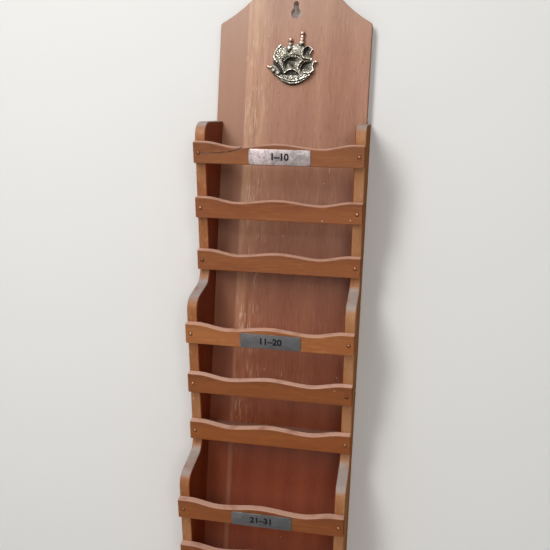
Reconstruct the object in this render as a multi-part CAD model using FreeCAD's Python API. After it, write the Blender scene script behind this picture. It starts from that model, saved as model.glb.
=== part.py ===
import FreeCAD, Part
import math
import os

os.makedirs("parts", exist_ok=True)
V = FreeCAD.Vector

# A wall-hung letter rack: a back board, two shaped sides, three pockets fronted by wavy slats.
# Millimetres. The origin is the keyhole's axis on the wall plane, +Z is up and the front faces -Y.
OVERALL_HEIGHT = 600.0
OVERALL_WIDTH = 150.0
SIDE_THICK = 9.5
INNER_HALF = OVERALL_WIDTH / 2 - SIDE_THICK

# Back board, let into rabbets in the sides; a concave shoulder sweeps up to a domed crest
BOARD_WIDTH = 143.0
BOARD_THICK = 9.5
SHOULDER_Z = -9.5
SHOULDER_ROUND = 2.5
SHOULDER_SWEEP = 120.0
SHOULDER_SLOPE = 28.3
CREST_SLOPE = 48.0
BOARD_EASE = 1.0

# Keyhole: the round hole passes a screw's head and the slot above it carries the shank
KEYHOLE_R = 4.75
SLOT_HALF = 2.5
SLOT_RISE = 8.5

# Pockets: the sides' front edges lean out towards the top of each pocket
POCKETS = ("upper", "middle", "lower")
POCKET_PITCH = 160.0
POCKET_TOP_Z = -127.5
POCKET_DEPTH = 58.0
FRONT_TILT = 16.3
TOP_RISE = 15.5
TOP_SLOPE = 10.0
LEDGE_RISE = 18.9
LEDGE_SLOPE = 21.8
BULGE_ROUND = 13.0
HOLLOW_ROUND = 12.0
SIDE_EASE = 1.2

# Front slats, with a wavy top edge
ROWS = ("top", "middle", "bottom")
SLAT_STEP = 49.5
SLAT_WIDTH = 19.0
SLAT_THICK = 7.0
WAVE_DIP = 4.2
CREST_DIP = 0.9
TROUGH_X = 37.5
WAVE_HALF = 66.0
SLAT_CORNER = 1.5
SLAT_EASE = 0.9

FLOOR_THICK = 9.5

# Label plates, stuck on the top slat of each pocket a little right of the middle
PLATE_WIDTH = 54.0
PLATE_HEIGHT = 13.5
PLATE_THICK = 0.8
PLATE_ROUND = 2.0
PLATE_X = 2.0
PLATE_LIFT = 0.8

# Dome-headed nails through the slats' ends into the sides
NAIL_HEAD_R = 1.9
NAIL_HEAD_H = 1.3
NAIL_SHANK_R = 0.8
NAIL_DEPTH = 10.0

# Flat-headed pins from behind, through the board into the sides and the pocket floors
PIN_HEAD_R = 1.7
PIN_HEAD_H = 0.9
PIN_SHANK_R = 0.8
PIN_LENGTH = 22.0
PIN_ROWS = 5
PIN_TOP_Z = -118.0
PIN_SPACING = 105.0
FLOOR_PIN_X = 38.0

# Cast emblem of a sailing ship on the board, sailing to the left
EMBLEM_X = -0.7
EMBLEM_Z = -42.2
HULL_THICK = 5.6
STEM_THICK = 5.2
BOWL_R = 7.0
MAST_R = 1.0
MAST_FOOT_Z = -10.0
MAST_STAND = 1.7
# Each mast's place across and its top; then the balls on it, as distance below the top and radius
MASTS = ((-2.6, 17.2), (8.3, 23.7))
MAST_BALLS = ((0.0, 1.4), (5.0, 1.2), (8.6, 1.7))
# Balls at the bow's tip and the stern's spar: place across, height and radius
TIP_BALLS = ((-22.4, -7.6, 1.6), (22.0, -3.0, 1.6))
# Outlines from the emblem's centre: a corner, a point on the arc to the next corner, and so on round
HULL = ((-15.2, -15.5), (1.0, -24.4), (17.8, -15.0), (1.5, -14.6))
STEM = ((-21.5, -6.5), (-19.5, -12.5), (-13.0, -17.0), (-9.5, -15.0), (-12.0, -10.5), (-16.0, -6.0))
# Each sail's thickness, the depth of the bowl in its face, and its outline
SAILS = (
    (3.4, 0, ((-11.6, 12.0), (-17.2, 5.5), (-17.8, -1.2), (-12.0, -7.5),
              (-6.4, -14.0), (-3.0, -2.0), (-3.5, 9.0), (-7.5, 10.2))),
    (4.2, 0, ((-3.6, 9.0), (3.0, 12.8), (10.6, 12.0), (12.0, 6.0),
              (10.3, -0.5), (2.0, -0.6), (-5.0, -1.5), (-5.0, 4.0))),
    (5.0, 3.2, ((-6.8, -14.2), (-8.5, -4.0), (-1.0, 1.9), (5.5, 1.2),
                (10.9, -2.2), (6.4, -7.0), (8.0, -15.5), (0.5, -12.5))),
    (4.6, 2.8, ((10.1, -0.2), (9.2, 7.0), (14.5, 11.2), (17.0, 9.8),
                (18.9, 7.5), (16.6, 3.0), (19.3, -1.9), (15.0, -0.8))),
    (4.8, 2.8, ((7.2, -16.0), (8.1, -8.0), (13.0, -2.6), (17.0, -2.4),
                (21.0, -3.2), (19.6, -8.0), (19.2, -14.0), (13.0, -15.6))),
)

# How near an edge lies to a plane or a level to be counted as on it
SNAP = 0.01

TILT = math.radians(FRONT_TILT)
LEAN = math.tan(TILT)


def pocket_top(pocket):
    """Height of the first slat's top edge, on the line of the sides' fronts."""
    return POCKET_TOP_Z - pocket * POCKET_PITCH


def front_depth(z, pocket):
    """How far the sides' front edge stands out from the board's front face."""
    return POCKET_DEPTH + (z - pocket_top(pocket)) * LEAN


def at(depth, z, x=0.0):
    """A point given by its distance in front of the board's front face."""
    return V(x, -BOARD_THICK - depth, z)


def mirrored(point):
    return V(-point.x, point.y, point.z)


def in_plane(edge, y):
    """Whether an edge lies in the plane at that y."""
    return max(abs(edge.BoundBox.YMin - y), abs(edge.BoundBox.YMax - y)) < SNAP


def runs_through(edge):
    """Whether an edge runs straight from front to back."""
    return max(edge.BoundBox.XLength, edge.BoundBox.ZLength) < SNAP


def rounded_wire(corners, place):
    """A closed outline of straight runs whose corners (u, v, radius) are rounded by tangent arcs."""
    edges = []
    ends = []
    for i, (u, v, radius) in enumerate(corners):
        here = V(u, v, 0)
        back = V(*corners[i - 1][:2], 0).sub(here).normalize()
        ahead = V(*corners[(i + 1) % len(corners)][:2], 0).sub(here).normalize()
        half = back.getAngle(ahead) / 2
        run = radius / math.tan(half)
        start = here.add(V(back).multiply(run))
        stop = here.add(V(ahead).multiply(run))
        middle = here
        if radius:
            inward = back.add(ahead).normalize()
            middle = here.add(inward.multiply(radius / math.sin(half) - radius))
        ends.append([place(p.x, p.y) for p in (start, middle, stop)])
    for i, (start, middle, stop) in enumerate(ends):
        if corners[i][2]:
            edges.append(Part.Arc(start, middle, stop).toShape())
        edges.append(Part.makeLine(stop, ends[(i + 1) % len(ends)][0]))
    return Part.Wire(edges)


def curved_face(points, place):
    """A face bounded by arcs: corner, point on the arc, corner, point on the arc, and so on round."""
    spots = [place(*p) for p in points]
    edges = []
    for i in range(0, len(spots), 2):
        edges.append(Part.Arc(spots[i], spots[i + 1], spots[(i + 2) % len(spots)]).toShape())
    return Part.Face(Part.Wire(edges))


def shoulder_arc():
    """The right shoulder's concave sweep: its start at the board's edge, a point on it, and its end."""
    slope = math.radians(SHOULDER_SLOPE)
    centre = V(BOARD_WIDTH / 2, 0, SHOULDER_Z).add(V(math.sin(slope), 0, math.cos(slope)) * SHOULDER_SWEEP)
    spots = []
    for angle in (SHOULDER_SLOPE, (SHOULDER_SLOPE + CREST_SLOPE) / 2, CREST_SLOPE):
        turn = math.radians(angle)
        spots.append(centre.sub(V(math.sin(turn), 0, math.cos(turn)) * SHOULDER_SWEEP))
    return spots


def crest_z():
    """Top of the dome, which leaves the shoulder's sweep without a kink."""
    end = shoulder_arc()[2]
    radius = end.x / math.sin(math.radians(CREST_SLOPE))
    return end.z + radius * (1 - math.cos(math.radians(CREST_SLOPE)))


BOTTOM_Z = crest_z() - OVERALL_HEIGHT


def backboard():
    """The board, its front edges eased, with the keyhole cut through it."""
    start, middle, end = shoulder_arc()
    low_right = V(BOARD_WIDTH / 2, 0, BOTTOM_Z)
    edges = [
        Part.makeLine(mirrored(low_right), low_right),
        Part.makeLine(low_right, start),
        Part.Arc(start, middle, end).toShape(),
        Part.Arc(end, V(0, 0, crest_z()), mirrored(end)).toShape(),
        Part.Arc(mirrored(end), mirrored(middle), mirrored(start)).toShape(),
        Part.makeLine(mirrored(start), mirrored(low_right)),
    ]
    board = Part.Face(Part.Wire(edges)).extrude(V(0, -BOARD_THICK, 0))
    through = [e for e in board.Edges if runs_through(e)]
    shoulders = [e for e in through if abs(e.CenterOfMass.z - SHOULDER_Z) < SNAP]
    board = board.makeFillet(SHOULDER_ROUND, shoulders)
    rim = [e for e in board.Edges if in_plane(e, -BOARD_THICK) and e.CenterOfMass.z > BOTTOM_Z + SNAP]
    return board.makeFillet(BOARD_EASE, rim).cut(keyhole())


def keyhole():
    through = V(0, -BOARD_THICK, 0)
    hole = Part.makeCylinder(KEYHOLE_R, BOARD_THICK, V(0, 0, 0), through)
    slot = Part.makeBox(2 * SLOT_HALF, BOARD_THICK, SLOT_RISE, V(-SLOT_HALF, -BOARD_THICK, 0))
    seat = Part.makeCylinder(SLOT_HALF, BOARD_THICK, V(0, 0, SLOT_RISE), through)
    return hole.fuse([slot, seat])


def side_corners():
    """The side's outline as (depth, z, rounding), from the wall end of its top edge forwards and down."""
    z = pocket_top(0) + TOP_RISE
    depth = front_depth(z, 0)
    back_z = z + (depth + BOARD_THICK) * math.tan(math.radians(TOP_SLOPE))
    corners = [(-BOARD_THICK, back_z, 0), (depth, z, BULGE_ROUND)]
    ledge = math.tan(math.radians(LEDGE_SLOPE))
    for pocket in range(1, len(POCKETS)):
        z = pocket_top(pocket) + LEDGE_RISE
        depth = front_depth(z, pocket)
        inner = front_depth(z + depth * ledge, pocket - 1) / (1 + ledge * LEAN)
        corners.append((inner, z + (depth - inner) * ledge, HOLLOW_ROUND))
        corners.append((depth, z, BULGE_ROUND))
    corners.append((front_depth(BOTTOM_Z, len(POCKETS) - 1), BOTTOM_Z, 0))
    corners.append((-BOARD_THICK, BOTTOM_Z, 0))
    return corners


def side_panel(hand):
    """One side: hand is -1 for the left and 1 for the right."""
    inner_x = hand * INNER_HALF
    outer_x = hand * OVERALL_WIDTH / 2
    outline = rounded_wire(side_corners(), lambda depth, z: at(depth, z, inner_x))
    panel = Part.Face(outline).extrude(V(outer_x - inner_x, 0, 0))
    reach = BOARD_WIDTH / 2 - INNER_HALF
    low_x = min(inner_x, inner_x + hand * reach)
    rabbet = Part.makeBox(reach, BOARD_THICK, OVERALL_HEIGHT, V(low_x, -BOARD_THICK, BOTTOM_Z))
    panel = panel.cut(rabbet)
    eased = []
    for edge in panel.Edges:
        middle = edge.CenterOfMass
        on_face = edge.BoundBox.XLength < SNAP and min(abs(middle.x - x) for x in (inner_x, outer_x)) < SNAP
        if on_face and middle.y < -BOARD_THICK - SNAP and middle.z > BOTTOM_Z + SNAP:
            eased.append(edge)
    return panel.makeFillet(SIDE_EASE, eased)


def slat_place(pocket, row):
    """Placement of a slat's own frame: its top back edge on the sides' fronts, its face leaning with them."""
    slide = row * SLAT_STEP
    top = at(POCKET_DEPTH - slide * math.sin(TILT), pocket_top(pocket) - slide * math.cos(TILT))
    return FreeCAD.Placement(top, FreeCAD.Rotation(V(1, 0, 0), FRONT_TILT))


def slat():
    """A slat in its own frame: its back on y = 0 and its ends' top edge on z = 0."""
    end = OVERALL_WIDTH / 2
    waves = [(-WAVE_HALF, 0), (-TROUGH_X, -WAVE_DIP), (0, -CREST_DIP), (TROUGH_X, -WAVE_DIP), (WAVE_HALF, 0)]
    spots = [V(x, 0, z) for x, z in waves]
    wave = Part.BSplineCurve()
    wave.interpolate(Points=spots, Tangents=[V(1, 0, 0)] * len(spots), TangentFlags=[True] * len(spots))
    right = [spots[-1], V(end, 0, 0), V(end, 0, -SLAT_WIDTH)]
    around = right + [mirrored(p) for p in reversed(right)]
    edges = [wave.toShape()] + [Part.makeLine(a, b) for a, b in zip(around, around[1:])]
    blank = Part.Face(Part.Wire(edges)).extrude(V(0, -SLAT_THICK, 0))
    through = [e for e in blank.Edges if runs_through(e)]
    corners = [e for e in through if abs(e.CenterOfMass.x) > end - SNAP]
    blank = blank.makeFillet(SLAT_CORNER, corners)
    return blank.makeFillet(SLAT_EASE, [e for e in blank.Edges if in_plane(e, -SLAT_THICK)])


def pocket_floor(pocket):
    """A board across the pocket's bottom, its front edge sloped to lie against the lowest slat."""
    low = pocket_top(pocket) - ((len(ROWS) - 1) * SLAT_STEP + SLAT_WIDTH) * math.cos(TILT)
    high = low + FLOOR_THICK
    section = [(0, low), (front_depth(low, pocket), low), (front_depth(high, pocket), high), (0, high)]
    outline = Part.makePolygon([at(d, z, -INNER_HALF) for d, z in section + section[:1]])
    return Part.Face(outline).extrude(V(2 * INNER_HALF, 0, 0))


def label_plate():
    """A thin plate in its slat's frame, lying on the slat's front face."""
    half = PLATE_WIDTH / 2
    low = PLATE_LIFT - SLAT_WIDTH
    high = low + PLATE_HEIGHT
    spots = [(PLATE_X - half, low), (PLATE_X + half, low), (PLATE_X + half, high), (PLATE_X - half, high)]
    outline = rounded_wire([(x, z, PLATE_ROUND) for x, z in spots], lambda x, z: V(x, -SLAT_THICK, z))
    return Part.Face(outline).extrude(V(0, -PLATE_THICK, 0))


def slat_nail(hand):
    """A nail in its slat's frame, at the middle of the side's thickness."""
    x = hand * (OVERALL_WIDTH / 2 - SIDE_THICK / 2)
    z = -SLAT_WIDTH / 2
    ball = (NAIL_HEAD_R ** 2 + NAIL_HEAD_H ** 2) / (2 * NAIL_HEAD_H)
    rim = math.degrees(math.asin((ball - NAIL_HEAD_H) / ball))
    centre = V(x, -SLAT_THICK + ball - NAIL_HEAD_H, z)
    head = Part.makeSphere(ball, centre, V(0, -1, 0), rim, 90)
    shank = Part.makeCylinder(NAIL_SHANK_R, SLAT_THICK + NAIL_DEPTH, V(x, -SLAT_THICK, z), V(0, 1, 0))
    return head.fuse(shank)


def slat_nails():
    nails = []
    for pocket in range(len(POCKETS)):
        for row in range(len(ROWS)):
            for hand in (-1, 1):
                nail = slat_nail(hand)
                nail.Placement = slat_place(pocket, row)
                nails.append(nail)
    return nails


def back_pin(x, z):
    """A pin with its head flush with the board's back."""
    head = Part.makeCylinder(PIN_HEAD_R, PIN_HEAD_H, V(x, 0, z), V(0, -1, 0))
    shank = Part.makeCylinder(PIN_SHANK_R, PIN_LENGTH, V(x, 0, z), V(0, -1, 0))
    return head.fuse(shank).removeSplitter()


def back_pins():
    side_x = (INNER_HALF + BOARD_WIDTH / 2) / 2
    spots = [(side_x, PIN_TOP_Z - i * PIN_SPACING) for i in range(PIN_ROWS)]
    for pocket in range(len(POCKETS)):
        spots.append((FLOOR_PIN_X, pocket_floor(pocket).CenterOfMass.z))
    return [back_pin(hand * x, z) for x, z in spots for hand in (-1, 1)]


def emblem_ball(x, z, radius):
    return Part.makeSphere(radius, at(MAST_STAND, EMBLEM_Z + z, EMBLEM_X + x))


def emblem_sail(thick, bowl, outline):
    """A sail cut from a flat blank, its face scooped out where it is seen from its hollow side."""
    sail = emblem_blank(outline, thick)
    if not bowl:
        return sail
    middle = sail.CenterOfMass
    return sail.cut(Part.makeSphere(BOWL_R, at(thick + BOWL_R - bowl, middle.z, middle.x)))


def emblem_blank(outline, thick):
    face = curved_face(outline, lambda x, z: at(0, EMBLEM_Z + z, EMBLEM_X + x))
    return face.extrude(V(0, -thick, 0))


def ship_emblem():
    """One casting: hull, stem, five sails that belly to the left, and two masts with ball finials."""
    pieces = [emblem_blank(HULL, HULL_THICK), emblem_blank(STEM, STEM_THICK)]
    pieces += [emblem_sail(*sail) for sail in SAILS]
    for x, top in MASTS:
        foot = at(MAST_STAND, EMBLEM_Z + MAST_FOOT_Z, EMBLEM_X + x)
        pieces.append(Part.makeCylinder(MAST_R, top - MAST_FOOT_Z, foot, V(0, 0, 1)))
        pieces += [emblem_ball(x, top - drop, radius) for drop, radius in MAST_BALLS]
    pieces += [emblem_ball(*ball) for ball in TIP_BALLS]
    casting = pieces[0]
    for piece in pieces[1:]:
        casting = casting.fuse(piece)
    return casting.removeSplitter()


def build():
    nails = slat_nails()
    pins = back_pins()
    nodes = {"backboard": backboard().cut(pins)}
    for name, hand in (("left_side", -1), ("right_side", 1)):
        nodes[name] = side_panel(hand).cut(nails + pins)
    for pocket, pocket_name in enumerate(POCKETS):
        for row, row_name in enumerate(ROWS):
            piece = slat()
            piece.Placement = slat_place(pocket, row)
            nodes[pocket_name + "_pocket_" + row_name + "_slat"] = piece.cut(nails)
        nodes[pocket_name + "_pocket_floor"] = pocket_floor(pocket).cut(pins)
        plate = label_plate()
        plate.Placement = slat_place(pocket, 0)
        nodes[pocket_name + "_label_plate"] = plate
    nodes["ship_emblem"] = ship_emblem()
    nodes["slat_nails"] = Part.makeCompound(nails)
    nodes["back_pins"] = Part.makeCompound(pins)
    return nodes


for name, shape in build().items():
    shape.exportStep("parts/" + name + ".step")
    print(name, "solids", len(shape.Solids), "valid", shape.isValid(), "mm3", round(shape.Volume, 1))
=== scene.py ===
import math

import bmesh
import bpy
import numpy as np
from mathutils import Matrix, Vector, noise


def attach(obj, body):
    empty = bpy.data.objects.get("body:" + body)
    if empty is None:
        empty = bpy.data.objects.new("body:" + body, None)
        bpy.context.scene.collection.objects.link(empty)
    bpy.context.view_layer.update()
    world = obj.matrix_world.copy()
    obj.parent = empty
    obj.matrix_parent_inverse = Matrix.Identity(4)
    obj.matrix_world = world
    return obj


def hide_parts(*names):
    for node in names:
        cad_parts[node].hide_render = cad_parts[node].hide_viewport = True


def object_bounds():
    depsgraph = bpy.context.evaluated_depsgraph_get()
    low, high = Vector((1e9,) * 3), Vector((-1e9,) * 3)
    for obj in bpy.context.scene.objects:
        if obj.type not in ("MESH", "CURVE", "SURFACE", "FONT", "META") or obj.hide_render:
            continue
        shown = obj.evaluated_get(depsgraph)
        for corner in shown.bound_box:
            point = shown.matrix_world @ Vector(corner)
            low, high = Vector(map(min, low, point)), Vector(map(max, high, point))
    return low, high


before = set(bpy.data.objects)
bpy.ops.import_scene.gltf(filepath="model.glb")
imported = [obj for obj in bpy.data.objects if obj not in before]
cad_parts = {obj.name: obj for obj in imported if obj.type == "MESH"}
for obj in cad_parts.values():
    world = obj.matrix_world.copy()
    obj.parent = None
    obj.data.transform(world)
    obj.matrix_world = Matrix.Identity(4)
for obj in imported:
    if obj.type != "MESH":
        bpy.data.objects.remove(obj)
cad_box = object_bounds()

# Back board: one long plank of reddish hardwood with upright grain, cut to a domed crest, lightly stained,
# satin varnished and pinned in a rabbet behind the sides. A smoother, pinker band runs down its left edge,
# with pale streaks beside it. A painted sheen makes it paler above; low down, behind letters, painted
# shade makes it deeper.
MM = 0.001
BOARD_PALE = (0.66, 0.38, 0.22, 1)
BOARD_MIDDLE = (0.40, 0.193, 0.115, 1)
BOARD_DEEP = (0.305, 0.128, 0.073, 1)
BOARD_PORES = 0.5
BOARD_BUMP = 0.35
BOARD_VARNISH = 0.64
BAND_EDGE = -44.5 * MM
BAND_SOFT = 1 * MM
BAND_TINT = (0.375, 0.193, 0.117, 1)
BAND_COVER = 0.55
LINE_MIDDLE = BAND_EDGE + 1.2 * MM
LINE_REACH = 3.6 * MM
LINE_TINT = (0.46, 0.26, 0.17, 1)
LINE_COVER = 0.26
STREAK_ZONE = 34 * MM
STREAK_GLOW = 0.75
FLECK_TINT = (0.68, 0.46, 0.32, 1)
FLECKS_END = -440 * MM
FLECKS_FULL = -330 * MM
# Painted shade and painted sheen: heights where the board is painted darker towards the bottom and paler
# towards the top
SHADE_SHEEN_SPLIT = -75 * MM
FULL_SHADE_LOW = -470 * MM
LOW_SHADE_TINT = (0.645, 0.27, 0.142, 1)
SHEEN_TOP = 45 * MM
SHEEN_COVER = 0.22
SHEEN_TINT = (0.62, 0.50, 0.42, 1)
PORE_DARK = (0.05, 0.018, 0.01, 1)
PORE_COVER = 0.62
GRAIN_SWAY = 3 * MM
GRAIN_DEPTH = 0.15 * MM
# Marks along the grain: how far the noise is drawn out, its scale and its detail
GRAIN_BANDS = (0.09, 48.0, 3.0)
GRAIN_STREAKS = (0.11, 560.0, 3.0)
GRAIN_FIBRES = (0.035, 1300.0, 2.0)
GRAIN_PORES = (0.08, 1250.0, 1.0)
SOFT_STREAKS = (0.08, 130.0, 3.0)
FLECK_DASHES = (0.1, 900.0, 2.0)
# Knocks: how far their cells are drawn out, the scale, the size in a cell and the input for how many
KNOCKS = ((1.0, 85.0, 0.062, "Chips"), (0.05, 170.0, 0.05, "Scratches"))
KNOCK_RAGGED = 0.0006
SCUFF_TINT = (0.78, 0.69, 0.61, 1)
# Wear: chips, scratches, how far both cover, the reach of rubbed edges and how far those cover
BOARD_WEAR = (0.2, 0.8, 0.45, 1.6 * MM, 0.35)


def feed(tree, node, sockets):
    """Fills a node's inputs with values or with other nodes' outputs."""
    for name, value in sockets.items():
        if isinstance(value, bpy.types.NodeSocket):
            tree.links.new(value, node.inputs[name])
        else:
            node.inputs[name].default_value = value


def add(tree, kind, sockets=None, **settings):
    """A new node: settings are its properties, and sockets its inputs."""
    made = tree.nodes.new(kind)
    for name, value in settings.items():
        setattr(made, name, value)
    feed(tree, made, sockets or {})
    return made


def calc(tree, operation, *values):
    """One step of arithmetic on numbers that change over a surface."""
    return add(tree, "ShaderNodeMath", dict(enumerate(values)), operation=operation).outputs[0]


def times(tree, *values):
    """The product of several such numbers."""
    product = values[0]
    for value in values[1:]:
        product = calc(tree, "MULTIPLY", product, value)
    return product


def graded(tree, value, slope, start):
    """A number stretched by a slope and added to a start."""
    return calc(tree, "MULTIPLY_ADD", value, slope, start)


def ramp(tree, value, low, high, start=0.0, end=1.0):
    """Moves smoothly from start to end while the value goes from low to high."""
    span = {"Value": value, "From Min": low, "From Max": high, "To Min": start, "To Max": end}
    return add(tree, "ShaderNodeMapRange", span, interpolation_type="SMOOTHSTEP").outputs[0]


def tint(tree, amount, under, over, mode="MIX"):
    """One colour laid over another by an amount."""
    made = add(tree, "ShaderNodeMix", {0: amount, 6: under, 7: over}, data_type="RGBA", blend_type=mode)
    return made.outputs[2]


def shaded(tree, colour, shade):
    """A colour made lighter or darker by a number."""
    grey = add(tree, "ShaderNodeCombineColor", {0: shade, 1: shade, 2: shade}).outputs[0]
    return tint(tree, 1.0, colour, grey, "MULTIPLY")


def vector(tree, x=0.0, y=0.0, z=0.0):
    return add(tree, "ShaderNodeCombineXYZ", {0: x, 1: y, 2: z}).outputs[0]


def axes(tree, place):
    """A vector's three numbers."""
    return add(tree, "ShaderNodeSeparateXYZ", {0: place}).outputs


def agreement(tree, one, other):
    """How far two directions agree, from 1 down to -1."""
    made = add(tree, "ShaderNodeVectorMath", {0: one, 1: other}, operation="DOT_PRODUCT")
    return made.outputs["Value"]


def own_place(tree):
    return add(tree, "ShaderNodeTexCoord").outputs["Object"]


def facing(tree):
    return add(tree, "ShaderNodeNewGeometry").outputs["Normal"]


def cloud(tree, place, scale, detail):
    """Plain noise, as one number for each point."""
    return add(tree, "ShaderNodeTexNoise", {"Vector": place, "Scale": scale, "Detail": detail}).outputs[0]


def drawn_out(tree, place, stretch):
    """A place whose patterns are drawn out along its Z."""
    return add(tree, "ShaderNodeMapping", {"Vector": place, "Scale": (1, 1, stretch)}).outputs[0]


def grain_noise(tree, place, stretch, scale, detail):
    """Noise drawn out along the grain, which runs along the place's Z."""
    return cloud(tree, drawn_out(tree, place, stretch), scale, detail)


def relief(tree, height, strength, depth):
    """The normal of a surface with fine bumps."""
    bumps = {"Strength": strength, "Distance": depth, "Height": height}
    return add(tree, "ShaderNodeBump", bumps).outputs[0]


def new_group(name, inputs, outputs, kind="ShaderNodeTree"):
    """An empty node group with named sockets: returns the tree, its inputs and its end node."""
    tree = bpy.data.node_groups.new(name, kind)
    for way, sockets in (("INPUT", inputs), ("OUTPUT", outputs)):
        for socket, holds in sockets.items():
            tree.interface.new_socket(socket, in_out=way, socket_type="NodeSocket" + holds)
    return tree, tree.nodes.new("NodeGroupInput").outputs, tree.nodes.new("NodeGroupOutput")


def use_group(tree, group, sockets):
    return add(tree, "ShaderNodeGroup", sockets, node_tree=group).outputs


def timber_group():
    """Straight-grained hardwood: broad bands, narrow streaks, fine fibres and open pores."""
    tones = {"Pale": "Color", "Middle": "Color", "Deep": "Color"}
    wanted = {"Grain": "Vector", **tones, "Streaks": "Float", "Pores": "Float"}
    given_out = {"Color": "Color", "Roughness": "Float", "Height": "Float"}
    tree, given, end = new_group("timber", wanted, given_out)
    sway = graded(tree, cloud(tree, given["Grain"], 9.0, 1.0), GRAIN_SWAY, -GRAIN_SWAY / 2)
    swayed = {0: given["Grain"], 1: vector(tree, sway)}
    place = add(tree, "ShaderNodeVectorMath", swayed, operation="ADD").outputs[0]
    bands = ramp(tree, grain_noise(tree, place, *GRAIN_BANDS), 0.28, 0.74)
    streaks = grain_noise(tree, place, *GRAIN_STREAKS)
    fibres = grain_noise(tree, place, *GRAIN_FIBRES)
    pores = times(tree, ramp(tree, grain_noise(tree, place, *GRAIN_PORES), 0.61, 0.72), given["Pores"])
    colour = tint(tree, bands, given["Deep"], given["Middle"])
    lit = times(tree, ramp(tree, streaks, 0.48, 0.76), given["Streaks"])
    colour = tint(tree, lit, colour, given["Pale"])
    colour = shaded(tree, colour, graded(tree, fibres, 0.16, 0.92))
    colour = tint(tree, pores, colour, tint(tree, PORE_COVER, colour, PORE_DARK))
    rough = graded(tree, pores, 0.2, graded(tree, streaks, 0.16, 0.33))
    height = calc(tree, "SUBTRACT", times(tree, fibres, 0.5), pores)
    feed(tree, end, {"Color": colour, "Roughness": rough, "Height": height})
    return tree


def scuff_group():
    """Small pale chips and drawn-out scratches where the varnish has been knocked."""
    wanted = {"Place": "Vector", "Chips": "Float", "Scratches": "Float"}
    tree, given, end = new_group("scuffs", wanted, {"Mask": "Float"})
    masks = []
    for stretch, scale, size, amount in KNOCKS:
        drawn = drawn_out(tree, given["Place"], stretch)
        ragged = add(tree, "ShaderNodeTexNoise", {"Vector": drawn, "Scale": scale * 9, "Detail": 1.0})
        mixed = {0: KNOCK_RAGGED, 4: drawn, 5: ragged.outputs["Color"]}
        bent = add(tree, "ShaderNodeMix", mixed, data_type="VECTOR").outputs[1]
        cells = add(tree, "ShaderNodeTexVoronoi", {"Vector": bent, "Scale": scale}).outputs
        pick = add(tree, "ShaderNodeSeparateColor", {0: cells["Color"]}).outputs[0]
        chosen = ramp(tree, calc(tree, "ADD", pick, given[amount]), 0.99, 1.01)
        near = ramp(tree, cells["Distance"], size * 0.5, size, 1.0, 0.0)
        masks.append(times(tree, near, chosen))
    feed(tree, end, {"Mask": calc(tree, "MAXIMUM", *masks)})
    return tree


def worn_edge_group():
    """Edges where hands have rubbed the varnish thin, broken up by noise."""
    wanted = {"Place": "Vector", "Reach": "Float"}
    tree, given, end = new_group("worn_edge", wanted, {"Mask": "Float"})
    rounded = add(tree, "ShaderNodeBevel", {"Radius": given["Reach"]}, samples=6).outputs[0]
    turned = calc(tree, "SUBTRACT", 1.0, agreement(tree, rounded, facing(tree)))
    broken = ramp(tree, cloud(tree, given["Place"], 130.0, 3.0), 0.38, 0.62)
    feed(tree, end, {"Mask": times(tree, ramp(tree, turned, 0.015, 0.16), broken)})
    return tree


timber = timber_group()
scuffs = scuff_group()
worn_edge = worn_edge_group()


def new_material(name, **constants):
    """A material with a Principled shader: returns it, its tree and the shader."""
    made = bpy.data.materials.new(name)
    made.use_nodes = True
    shader = made.node_tree.nodes["Principled BSDF"]
    for socket, value in constants.items():
        shader.inputs[socket.replace("_", " ")].default_value = value
    return made, made.node_tree, shader


def wear(tree, colour, grain, place, chips, scratches, knock_cover, reach, rub_cover):
    """Lays pale knocks and rubbed edges over a wood's colour."""
    knocks = use_group(tree, scuffs, {"Place": grain, "Chips": chips, "Scratches": scratches})["Mask"]
    rubs = use_group(tree, worn_edge, {"Place": place, "Reach": reach})["Mask"]
    worn = calc(tree, "MAXIMUM", times(tree, knocks, knock_cover), times(tree, rubs, rub_cover))
    return tint(tree, worn, colour, SCUFF_TINT)


def finish_wood(tree, shader, wood, colour, bump, varnish):
    """Feeds a wood's looks to its shader; hands have worn the varnish off faces that look out sideways."""
    normal = relief(tree, wood["Height"], bump, GRAIN_DEPTH)
    side = calc(tree, "SIGN", axes(tree, own_place(tree))["X"])
    outward = times(tree, axes(tree, facing(tree))["X"], side)
    coat = ramp(tree, outward, 0.5, 0.95, varnish, 0.0)
    feed(tree, shader, {"Base Color": colour, "Roughness": wood["Roughness"]})
    feed(tree, shader, {"Normal": normal, "Coat Weight": coat})


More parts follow.
